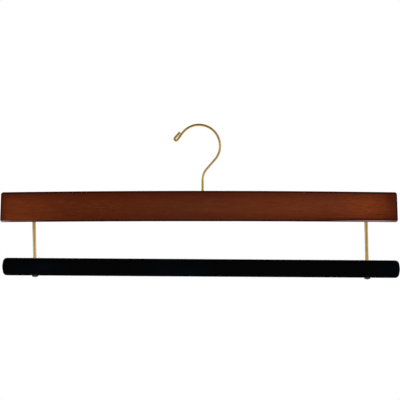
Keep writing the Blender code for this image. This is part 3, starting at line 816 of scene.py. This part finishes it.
def brass_plating():
    """Thin bright plating, gold and brown from wear on top of the hook, rosier below and greener on its
    stem, with painted highlights and a painted shadow at the top of the left rod.
    """
    finish, tree, shader, place = new_finish("brass_plating")
    x, _, z = add_node(tree, "ShaderNodeSeparateXYZ", {0: place}).outputs
    tarnish = stretched_noise(tree, place, TARNISH_GRAIN, detail=4.0)
    specks = stretched_noise(tree, place, SPECK_GRAIN, detail=2.0)
    left_rod = stepped(tree, x, *LEFT_ROD)
    # Painted highlights on the lower left rod, the ring's right side and the top of the stem
    painted_highlight = added(
        tree,
        times(tree, stepped(tree, z, *BOTTOM_OF_ROD), left_rod, BOTTOM_OF_ROD_HIGHLIGHT),
        band(tree, x, SIDE_OF_RING, SIDE_OF_RING_HIGHLIGHT),
        band(tree, z, TOP_OF_STEM, TOP_OF_STEM_HIGHLIGHT),
    )
    top_of_hook = patch(tree, z, *TOP_OF_HOOK, TOP_OF_HOOK_BROWN)
    # Painted shadow at the top of the left rod, under the beam
    rod_top_painted_shadow = times(tree, stepped(tree, z, *TOP_OF_ROD), left_rod, TOP_OF_ROD_SHADOW)
    flank = added(tree, band(tree, z, BELOW_CROWN), band(tree, z, HOOK_FLANK))
    colour = layered(
        tree,
        BRASS_BRIGHT,
        (stepped(tree, tarnish, *TARNISH_MARKS), BRASS_TARNISHED),
        (painted_highlight, BRASS_PAINTED_HIGHLIGHT),
        # Brown on top of the hook, and a painted shadow at the top of the left rod
        (added(tree, top_of_hook, rod_top_painted_shadow), BRASS_BROWN),
        (patch(tree, z, *CROWN, CROWN_GOLD), BRASS_GOLD),
        (times(tree, flank, stepped(tree, x, *RIGHT_OF_TIP), FLANK_ROSE), BRASS_ROSE),
        (band(tree, z, STEM, STEM_GREEN), BRASS_GREEN),
        (patch(tree, specks, *SPECK_MARKS), BRASS_SPECK),
    )
    surface = {
        "Base Color": colour,
        "Metallic": 1.0,
        "Roughness": spread(tree, tarnish, *BRASS_ROUGHNESS),
        "Normal": embossed(tree, specks, *BRASS_RELIEF),
    }
    set_inputs(tree, shader, surface)
    return finish


brass = brass_plating()
drawn_wire = drawn_wire_tree()
hook_values = {"Wire radius": WIRE_RADIUS, "Sides": HOOK_SIDES, "Finish": brass}
hook = grown(wire_curve("hook_path", hook_path()), "hook_wire", drawn_wire, hook_values)
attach(hook, "hook")
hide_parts("swivel_hook")

# Bush and washer of the hook
# A turned brass bush, pressed flush into the top of the beam and held by barbs, carries the hook's stem. The
# thrust washer below it runs on the hook's head, out of sight, so the frame's own washer is kept.
BUSH_TOP = -0.3 * MM
BUSH_LENGTH = 16.0 * MM
BUSH_BORE = 1.8 * MM
BUSH_RADIUS = 3.2 * MM
BUSH_BARB = 0.3 * MM
BUSH_RIM = 1.2 * MM
BARB_PITCH = 3.2 * MM
RIM_UNDERCUT = 0.05 * MM
RIM_CHAMFER = 0.2 * MM
BORE_CHAMFER = 0.25 * MM


def bush_profile():
    bottom = BUSH_TOP - BUSH_LENGTH
    rim_bottom = BUSH_TOP - BUSH_RIM
    rim_radius = BUSH_RADIUS + BUSH_BARB
    profile = [(BUSH_BORE, bottom)]
    for i in range(int((rim_bottom - bottom) / BARB_PITCH)):
        tooth = bottom + BARB_PITCH * i
        profile += [(BUSH_RADIUS, tooth), (rim_radius, tooth + BUSH_BARB / 2)]
    profile += [(BUSH_RADIUS, rim_bottom), (rim_radius, rim_bottom + RIM_UNDERCUT)]
    profile += [(rim_radius, BUSH_TOP - RIM_CHAMFER), (BUSH_RADIUS + RIM_CHAMFER / 2, BUSH_TOP)]
    return profile + [(BUSH_BORE + BORE_CHAMFER, BUSH_TOP), (BUSH_BORE, BUSH_TOP - BORE_CHAMFER)]


bush_mesh = turned_mesh("bush", bush_profile(), ring=True)
bush_mesh.transform(Matrix.Translation((HOOK_STEM_X, 0, BEAM_TOP_Z)))
bush_mesh.materials.append(brass)
bush = link(bpy.data.objects.new("bush", bush_mesh))
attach(bush, "hanger")
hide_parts("hook_ferrule")
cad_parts["hook_washer"].material_slots[0].material = brass

# Rods
# Straight brass-plated steel rods, one near each end. The upper end is driven into the beam up to a stop
# collar, and the lower end narrows to a screw thread that goes through the bar and into its nut.
ROD_RADIUS = 2.25 * MM
COLLAR_RADIUS = 2.85 * MM
COLLAR_THICKNESS = 0.9 * MM
COLLAR_SEAT = 0.385 * MM
COLLAR_ROUNDING = 0.15 * MM
COLLAR_FACE_RADIUS = COLLAR_RADIUS * 0.94
SHOULDER_Z = 7.1 * MM  # above the bar's axis
THREAD_RADIUS = 1.75 * MM
THREAD_ROOT = 1.3 * MM
THREAD_PITCH = 0.8 * MM
THREAD_TURNS = 8.0
THREAD_STEPS = 28  # in a turn
THREAD_RUNOUT = 0.3 * MM
RIDGE_SINK = 0.2 * MM  # of its middle line, below the thread's radius
RIDGE_START = 0.5 * MM  # above the rod's bottom
RIDGE_SIZE = 0.52  # as a share of the pitch
RIDGE_SIDES = 3
ROD_BOTTOM = -13.4 * MM
ROD_BOTTOM_CHAMFER = 0.2 * MM
ROD_BOTTOM_RADIUS = THREAD_ROOT * 0.8
ROD_POINT = 0.8 * MM
ROD_POINT_RADIUS = ROD_RADIUS * 0.7
ROD_SIDES = 40
STEP_RISE = 0.01 * MM  # of a square shoulder, because two points of a curve can't share a place
BAR_TILT = 0.385 * DEGREE
BAR_DROP = 59.6 * MM
BAR_MIDDLE_X = ROD_OFFSET + BAR_DROP * math.tan(ROD_LEAN)
BAR_MIDDLE_Z = BEAM_UNDERSIDE_Z - BAR_DROP


def rod_place(side):
    """A matrix with Z up along a rod from where it crosses the bar's axis, and its length to the beam."""
    beam_x = rod_hole_x(side)
    run_x = beam_x - BAR_MIDDLE_X
    run_z = beam_underside(beam_x) - BAR_MIDDLE_Z
    reach = (run_z * math.cos(BAR_TILT) + run_x * math.sin(BAR_TILT)) / math.cos(ROD_LEAN + BAR_TILT)
    place = (beam_x + reach * math.sin(ROD_LEAN), 0, beam_underside(beam_x) - reach * math.cos(ROD_LEAN))
    return Matrix.Translation(place) @ Matrix.Rotation(-ROD_LEAN, 4, "Y"), reach


def rod_path(reach):
    """The rod from its threaded end up, as (x, y, z, width as a share of the rod's)."""
    thread_top = ROD_BOTTOM + THREAD_PITCH * (THREAD_TURNS + 1)
    collar_top = reach - COLLAR_SEAT
    collar_bottom = collar_top - COLLAR_THICKNESS
    rod_top = reach + ROD_EMBED
    steps = (
        (ROD_BOTTOM, ROD_BOTTOM_RADIUS),
        (ROD_BOTTOM + ROD_BOTTOM_CHAMFER, THREAD_ROOT),
        (thread_top, THREAD_ROOT),
        (thread_top + THREAD_RUNOUT, THREAD_RADIUS),
        (SHOULDER_Z, THREAD_RADIUS),
        (SHOULDER_Z, ROD_RADIUS),
        (collar_bottom, ROD_RADIUS),
        (collar_bottom, COLLAR_FACE_RADIUS),
        (collar_bottom + COLLAR_ROUNDING, COLLAR_RADIUS),
        (collar_top - COLLAR_ROUNDING, COLLAR_RADIUS),
        (collar_top, COLLAR_FACE_RADIUS),
        (collar_top, ROD_RADIUS),
        (rod_top - ROD_POINT, ROD_RADIUS),
        (rod_top, ROD_POINT_RADIUS),
    )
    path = []
    for z, radius in steps:
        lift = STEP_RISE if path and z - path[-1][2] < STEP_RISE / 2 else 0.0
        path.append((0, 0, z + lift, radius / ROD_RADIUS))
    return path


def joined(tree, first, second):
    whole = add_node(tree, "GeometryNodeJoinGeometry", {0: first})
    tree.links.new(second, whole.inputs[0])
    return whole.outputs[0]


def screw_thread_tree():
    """Winds a three-sided ridge round an axis and joins it to the rod that comes in."""
    inputs = [
        ("Ridge radius", "NodeSocketFloat"),
        ("Pitch", "NodeSocketFloat"),
        ("Turns", "NodeSocketFloat"),
        ("Bottom", "NodeSocketFloat"),
        ("Finish", "NodeSocketMaterial"),
    ]
    tree, given = new_tree("screw_thread", inputs)
    helix = add_node(
        tree,
        "GeometryNodeCurveSpiral",
        {
            "Resolution": THREAD_STEPS,
            "Rotations": given["Turns"],
            "Start Radius": given["Ridge radius"],
            "End Radius": given["Ridge radius"],
            "Height": times(tree, given["Pitch"], given["Turns"]),
        },
    )
    wound = swept(tree, helix.outputs[0], RIDGE_SIDES, times(tree, given["Pitch"], RIDGE_SIZE))
    lift = add_node(tree, "ShaderNodeCombineXYZ", {"Z": given["Bottom"]}).outputs[0]
    placed = add_node(tree, "GeometryNodeTransform", {"Geometry": wound, "Translation": lift})
    end_tree(tree, joined(tree, given["Geometry"], placed.outputs[0]), given["Finish"])
    return tree


screw_thread = screw_thread_tree()
rod_values = {"Wire radius": ROD_RADIUS, "Sides": ROD_SIDES, "Finish": brass}
thread_values = {
    "Ridge radius": THREAD_RADIUS - RIDGE_SINK,
    "Pitch": THREAD_PITCH,
    "Turns": THREAD_TURNS,
    "Bottom": ROD_BOTTOM + RIDGE_START,
    "Finish": brass,
}
for side_name, side in (("left", -1), ("right", 1)):
    place, reach = rod_place(side)
    shank = grown(wire_curve("rod_path", rod_path(reach)), "rod_shank", drawn_wire, rod_values)
    rod = grown(shank, side_name + "_threaded_rod", screw_thread, thread_values)
    rod.data.set_sharp_from_angle(angle=SHARP_ANGLE)
    rod.data.transform(place)
    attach(rod, "hanger")
    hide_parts(side_name + "_rod")

# Core of the bar
# A plain hardwood dowel inside the flock. Only narrow rings of it show, in the two spot faces under the bar,
# so the frame's own core is kept and gets the look of bare turned wood.
BARE_WOOD_PALE = (0.62, 0.42, 0.23, 1)
BARE_WOOD_BROWN = (0.46, 0.28, 0.13, 1)
BARE_WOOD_RING = (0.34, 0.19, 0.08, 1)
BARE_WOOD_GRAIN = (30, 1200, 1200)
BARE_WOOD_ROUGHNESS = 0.72
BARE_WOOD_RELIEF = (0.3, 0.03 * MM)
CORE_HEART = (3 * MM, -150 * MM)
CORE_RING_WIDTH = 1.9 * MM
CORE_RING_STRENGTH = 0.4


def bare_wood():
    finish, tree, shader, place = new_finish("bare_wood")
    fibres = stretched_noise(tree, place, BARE_WOOD_GRAIN, detail=3.0)
    rings = times(tree, growth_rings(tree, place, CORE_HEART, CORE_RING_WIDTH), CORE_RING_STRENGTH)
    surface = {
        "Base Color": layered(tree, BARE_WOOD_PALE, (fibres, BARE_WOOD_BROWN), (rings, BARE_WOOD_RING)),
        "Roughness": BARE_WOOD_ROUGHNESS,
        "Normal": embossed(tree, fibres, *BARE_WOOD_RELIEF),
    }
    set_inputs(tree, shader, surface)
    return finish


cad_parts["bar_core"].material_slots[0].material = bare_wood()

# Flocked cover
# The black skin that keeps clothes from sliding: short nylon fibres shot on end into glue over the dowel and
# its rounded ends. The rods come out of it above, and it is cut away round the washers below.
BAR_LENGTH = 509.0 * MM
BAR_RADIUS = 11.3 * MM
BAR_END_RADIUS = 5.5 * MM
BAR_END_DOME = 0.8 * MM
BAR_SIDES = 80
BAR_STRAIGHT_STEPS = 48
BAR_CORNER_STEPS = 12
BAR_DOME_STEPS = 5
BAR_SHARP_ANGLE = 50 * DEGREE
SKIN_INSET = 0.05 * MM
FLOCK_THICKNESS = 0.9 * MM
SPOT_FACE_RADIUS = 5.2 * MM
SPOT_FACE_Z = -8.4 * MM
BAR_DRILL_REACH = 25 * MM
FIBRE_LENGTH = 0.42 * MM
FIBRE_SHORTEST = 0.55  # as a share of its length
FIBRE_LONGEST = 1.15
FIBRE_RADIUS = 0.045 * MM
FIBRE_LEAN = 0.45  # in radians, either way
FIBRE_FACING = 0.6  # cosine of a face's steepest turn from straight outwards
LINING_TOLERANCE = 0.1 * MM
FIBRES_PER_SQUARE_METRE = 1.2e6
FLOCK_SEED = 7


def bar_profile(inset):
    """Half outline of the bar from end to end, as (radius, distance along it), set in all over."""
    flat_radius = BAR_RADIUS - BAR_END_RADIUS
    crown = BAR_LENGTH / 2 - inset
    corner = BAR_END_RADIUS - inset
    half = arc(flat_radius, crown - BAR_END_DOME - corner, corner, 0, math.pi / 2, BAR_CORNER_STEPS)
    for i in range(BAR_DOME_STEPS - 1, -1, -1):
        share = i / BAR_DOME_STEPS
        half.append((flat_radius * share, crown - BAR_END_DOME * share**2))
    places = [2 * i / BAR_STRAIGHT_STEPS - 1 for i in range(1, BAR_STRAIGHT_STEPS)]
    straight = [(BAR_RADIUS - inset, half[0][1] * place) for place in places]
    return [(radius, -distance) for radius, distance in half[::-1]] + straight + half


def carries_flock(centre, normal):
    """True for a face on the bar's outside, by its middle and direction with Z along the bar."""
    spine_half = BAR_LENGTH / 2 - BAR_END_RADIUS
    away = centre - Vector((0, 0, max(-spine_half, min(spine_half, centre.z))))
    on_lining = away.length < BAR_RADIUS - FLOCK_THICKNESS + LINING_TOLERANCE
    beside_axis = math.hypot(centre.x, centre.y) > BAR_RADIUS - BAR_END_RADIUS - FLOCK_THICKNESS
    return not (on_lining and beside_axis) and normal.dot(away.normalized()) > FIBRE_FACING


def bare_skin(bar_matrix):
    """The flock's glued base: a shell with holes for the rods, marked where it faces outwards."""
    skin_mesh = turned_mesh("skin", bar_profile(SKIN_INSET), sides=BAR_SIDES)
    skin = link(bpy.data.objects.new("skin", skin_mesh))
    skin.matrix_world = bar_matrix
    hollow = turned_mesh("hollow", bar_profile(FLOCK_THICKNESS), sides=BAR_SIDES)
    tools = [cut_with(skin, "hollow", hollow, bar_matrix)]
    for side in (-1, 1):
        place, _ = rod_place(side)
        bore = [(0, -BAR_DRILL_REACH), (SPOT_FACE_RADIUS, -BAR_DRILL_REACH), (SPOT_FACE_RADIUS, SPOT_FACE_Z)]
        bore += [(ROD_BORE_RADIUS, SPOT_FACE_Z), (ROD_BORE_RADIUS, BAR_DRILL_REACH), (0, BAR_DRILL_REACH)]
        tools.append(cut_with(skin, "bar_bore", turned_mesh("bar_bore", bore), place))
    piece = plain_copy(skin, "flock_skin")
    piece.data.set_sharp_from_angle(angle=BAR_SHARP_ANGLE)
    for tool in tools:
        bpy.data.objects.remove(tool)
    to_bar = bar_matrix.inverted()
    turn_to_bar = to_bar.to_3x3()
    outside = piece.data.attributes.new("outside", "BOOLEAN", "FACE")
    values = [carries_flock(to_bar @ face.center, turn_to_bar @ face.normal) for face in piece.data.polygons]
    outside.data.foreach_set("value", values)
    return piece


def flock_tree():
    """Stands short tapered fibres on the faces marked outside, each leaning its own way."""
    inputs = [
        ("Fibre length", "NodeSocketFloat"),
        ("Fibre radius", "NodeSocketFloat"),
        ("Density", "NodeSocketFloat"),
        ("Seed", "NodeSocketInt"),
        ("Finish", "NodeSocketMaterial"),
    ]
    tree, given = new_tree("flock", inputs)
    marked = add_node(tree, "GeometryNodeInputNamedAttribute", {"Name": "outside"}, data_type="BOOLEAN")
    scattered = add_node(
        tree,
        "GeometryNodeDistributePointsOnFaces",
        {
            "Mesh": given["Geometry"],
            "Selection": marked.outputs[0],
            "Density": given["Density"],
            "Seed": given["Seed"],
        },
    )
    fibre = add_node(
        tree,
        "GeometryNodeMeshCone",
        {
            "Vertices": 3,
            "Radius Top": 0.0,
            "Radius Bottom": given["Fibre radius"],
            "Depth": given["Fibre length"],
        },
    )
    lean = add_node(
        tree,
        "FunctionNodeRandomValue",
        {
            0: (-FIBRE_LEAN, -FIBRE_LEAN, -math.pi),
            1: (FIBRE_LEAN, FIBRE_LEAN, math.pi),
            "Seed": given["Seed"],
        },
        data_type="FLOAT_VECTOR",
    )
    leaning = add_node(
        tree,
        "FunctionNodeRotateRotation",
        {0: scattered.outputs["Rotation"], 1: lean.outputs[0]},
        rotation_space="LOCAL",
    )
    growth = add_node(
        tree,
        "FunctionNodeRandomValue",
        {2: FIBRE_SHORTEST, 3: FIBRE_LONGEST, "Seed": given["Seed"]},
        data_type="FLOAT",
    )
    standing = add_node(
        tree,
        "GeometryNodeInstanceOnPoints",
        {
            "Points": scattered.outputs["Points"],
            "Instance": fibre.outputs["Mesh"],
            "Rotation": leaning.outputs[0],
            "Scale": growth.outputs[1],
        },
    )
    end_tree(tree, joined(tree, given["Geometry"], standing.outputs[0]), given["Finish"])
    return tree


FLOCK_BLACK = (0.0005, 0.0005, 0.0006, 1)
FLOCK_GREY = (0.0014, 0.0014, 0.0017, 1)
# Bluish patches of painted sheen on the nap
FLOCK_PAINTED_SHEEN = (0.0013, 0.0016, 0.0028, 1)
NAP_GRAIN = (2200, 2200, 2200)
SHEEN_PATCH_GRAIN = (14, 45, 45)
SHEEN_PATCH_MARKS = (0.5, 0.8)
FLOCK_ROUGHNESS = (0.9, 1.0)
FLOCK_GLEAM = 0.008
FLOCK_SHEEN = 0.0025
FLOCK_SHEEN_ROUGHNESS = 0.5
FLOCK_SHEEN_TINT = (0.75, 0.80, 1.0, 1)
FLOCK_RELIEF = (0.6, 0.12 * MM)


def black_flock():
    finish, tree, shader, place = new_finish("black_flock")
    nap = stretched_noise(tree, place, NAP_GRAIN, detail=3.0)
    # Where the painted sheen lies
    painted_sheen = stepped(tree, stretched_noise(tree, place, SHEEN_PATCH_GRAIN, detail=2.0), *SHEEN_PATCH_MARKS)
    surface = {
        "Base Color": layered(tree, FLOCK_BLACK, (nap, FLOCK_GREY), (painted_sheen, FLOCK_PAINTED_SHEEN)),
        "Roughness": spread(tree, nap, *FLOCK_ROUGHNESS),
        "Specular IOR Level": FLOCK_GLEAM,
        "Sheen Weight": FLOCK_SHEEN,
        "Sheen Roughness": FLOCK_SHEEN_ROUGHNESS,
        "Sheen Tint": FLOCK_SHEEN_TINT,
        "Normal": embossed(tree, nap, *FLOCK_RELIEF),
    }
    set_inputs(tree, shader, surface)
    return finish


bar_middle = Matrix.Translation((BAR_MIDDLE_X, 0, BAR_MIDDLE_Z))
bar_matrix = bar_middle @ Matrix.Rotation(math.pi / 2 + BAR_TILT, 4, "Y")
flock_values = {
    "Fibre length": FIBRE_LENGTH,
    "Fibre radius": FIBRE_RADIUS,
    "Density": FIBRES_PER_SQUARE_METRE,
    "Seed": FLOCK_SEED,
    "Finish": black_flock(),
}
cover = grown(bare_skin(bar_matrix), "flock_cover", flock_tree(), flock_values)
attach(cover, "hanger")
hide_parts("flocked_cover")

# Washers and nuts under the bar
# Stock steel washers and hexagon nuts with a black oxide finish, one of each on the end of either rod. They
# pull the bar up against the shoulders of the rods.
WASHER_RADIUS = 4.5 * MM
WASHER_TOP = -8.7 * MM
WASHER_THICKNESS = 0.8 * MM
WASHER_CHAMFER = 0.12 * MM
NUT_TOP = -9.8 * MM
NUT_HEIGHT = 2.8 * MM
NUT_ACROSS_FLATS = 7.9 * MM
NUT_CHAMFER = 25 * DEGREE
NUT_BLANK_SPARE = 0.1 * MM  # of the round blank, past the hexagon's corners
NUT_SHARP_ANGLE = 25 * DEGREE
NUT_SIDES = 90  # of the round blank
FASTENER_BORE = 2.0 * MM
OXIDE_BLACK = (0.012, 0.012, 0.014, 1)
OXIDE_GREY = (0.035, 0.034, 0.034, 1)
OXIDE_GRAIN = (420, 420, 420)
OXIDE_METALLIC = 0.7
OXIDE_ROUGHNESS = (0.32, 0.55)
OXIDE_RELIEF = (0.2, 0.01 * MM)


def washer_mesh():
    bottom = WASHER_TOP - WASHER_THICKNESS
    flat_radius = WASHER_RADIUS - WASHER_CHAMFER
    profile = [(FASTENER_BORE, bottom), (flat_radius, bottom), (WASHER_RADIUS, bottom + WASHER_CHAMFER)]
    profile += [(WASHER_RADIUS, WASHER_TOP - WASHER_CHAMFER), (flat_radius, WASHER_TOP)]
    return turned_mesh("washer", profile + [(FASTENER_BORE, WASHER_TOP)], ring=True)


def nut_mesh():
    """A round chamfered blank, cut to six flats, with a plain bore."""
    flat_radius = NUT_ACROSS_FLATS / 2
    corner_radius = flat_radius / math.cos(math.pi / 6)
    blank_radius = corner_radius + NUT_BLANK_SPARE
    chamfer = (blank_radius - flat_radius) * math.tan(NUT_CHAMFER)
    bottom = NUT_TOP - NUT_HEIGHT
    profile = [(FASTENER_BORE, bottom + BORE_CHAMFER), (FASTENER_BORE + BORE_CHAMFER, bottom)]
    profile += [(flat_radius, bottom), (blank_radius, bottom + chamfer), (blank_radius, NUT_TOP - chamfer)]
    profile += [(flat_radius, NUT_TOP), (FASTENER_BORE + BORE_CHAMFER, NUT_TOP)]
    profile.append((FASTENER_BORE, NUT_TOP - BORE_CHAMFER))
    nut = link(bpy.data.objects.new("nut", turned_mesh("nut", profile, ring=True, sides=NUT_SIDES)))
    hexagon = bmesh.new()
    bmesh.ops.create_cone(
        hexagon,
        segments=6,
        radius1=corner_radius,
        radius2=corner_radius,
        depth=NUT_HEIGHT * 3,
        cap_ends=True,
    )
    nut_middle = Matrix.Translation((0, 0, NUT_TOP - NUT_HEIGHT / 2))
    tool = cut_with(nut, "flats", smooth_mesh("flats", hexagon), nut_middle)
    nut.modifiers["flats"].operation = "INTERSECT"
    made = plain_copy(nut, "nut")
    bpy.data.objects.remove(tool)
    mesh = made.data
    bpy.data.objects.remove(made)
    mesh.set_sharp_from_angle(angle=NUT_SHARP_ANGLE)
    return mesh


def pair_tree():
    """Puts one copy of the mesh at each end of the bar, turned to stand along the rods."""
    inputs = [
        ("Left place", "NodeSocketVector"),
        ("Right place", "NodeSocketVector"),
        ("Lean", "NodeSocketFloat"),
        ("Finish", "NodeSocketMaterial"),
    ]
    tree, given = new_tree("fastener_pair", inputs)
    places = {"Count": 2, "Start Location": given["Left place"], "Offset": given["Right place"]}
    ends = add_node(tree, "GeometryNodeMeshLine", places, mode="END_POINTS")
    turn = add_node(tree, "ShaderNodeCombineXYZ", {"Y": given["Lean"]}).outputs[0]
    copies = add_node(
        tree,
        "GeometryNodeInstanceOnPoints",
        {"Points": ends.outputs[0], "Instance": given["Geometry"], "Rotation": turn},
    )
    end_tree(tree, copies.outputs[0], given["Finish"])
    return tree


def black_oxide():
    finish, tree, shader, place = new_finish("black_oxide")
    cloud = stretched_noise(tree, place, OXIDE_GRAIN, detail=4.0)
    surface = {
        "Base Color": layered(tree, OXIDE_BLACK, (cloud, OXIDE_GREY)),
        "Metallic": OXIDE_METALLIC,
        "Roughness": spread(tree, cloud, *OXIDE_ROUGHNESS),
        "Normal": embossed(tree, cloud, *OXIDE_RELIEF),
    }
    set_inputs(tree, shader, surface)
    return finish


fastener_pair = pair_tree()
left_place, right_place = (rod_place(side)[0].to_translation() for side in (-1, 1))
pair_values = {
    "Left place": left_place,
    "Right place": right_place,
    "Lean": -ROD_LEAN,
    "Finish": black_oxide(),
}
for part, mesh in (("washer", washer_mesh()), ("nut", nut_mesh())):
    base = link(bpy.data.objects.new(part, mesh))
    pair = grown(base, part + "_pair", fastener_pair, pair_values)
    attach(pair, "hanger")
    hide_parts("left_" + part, "right_" + part)
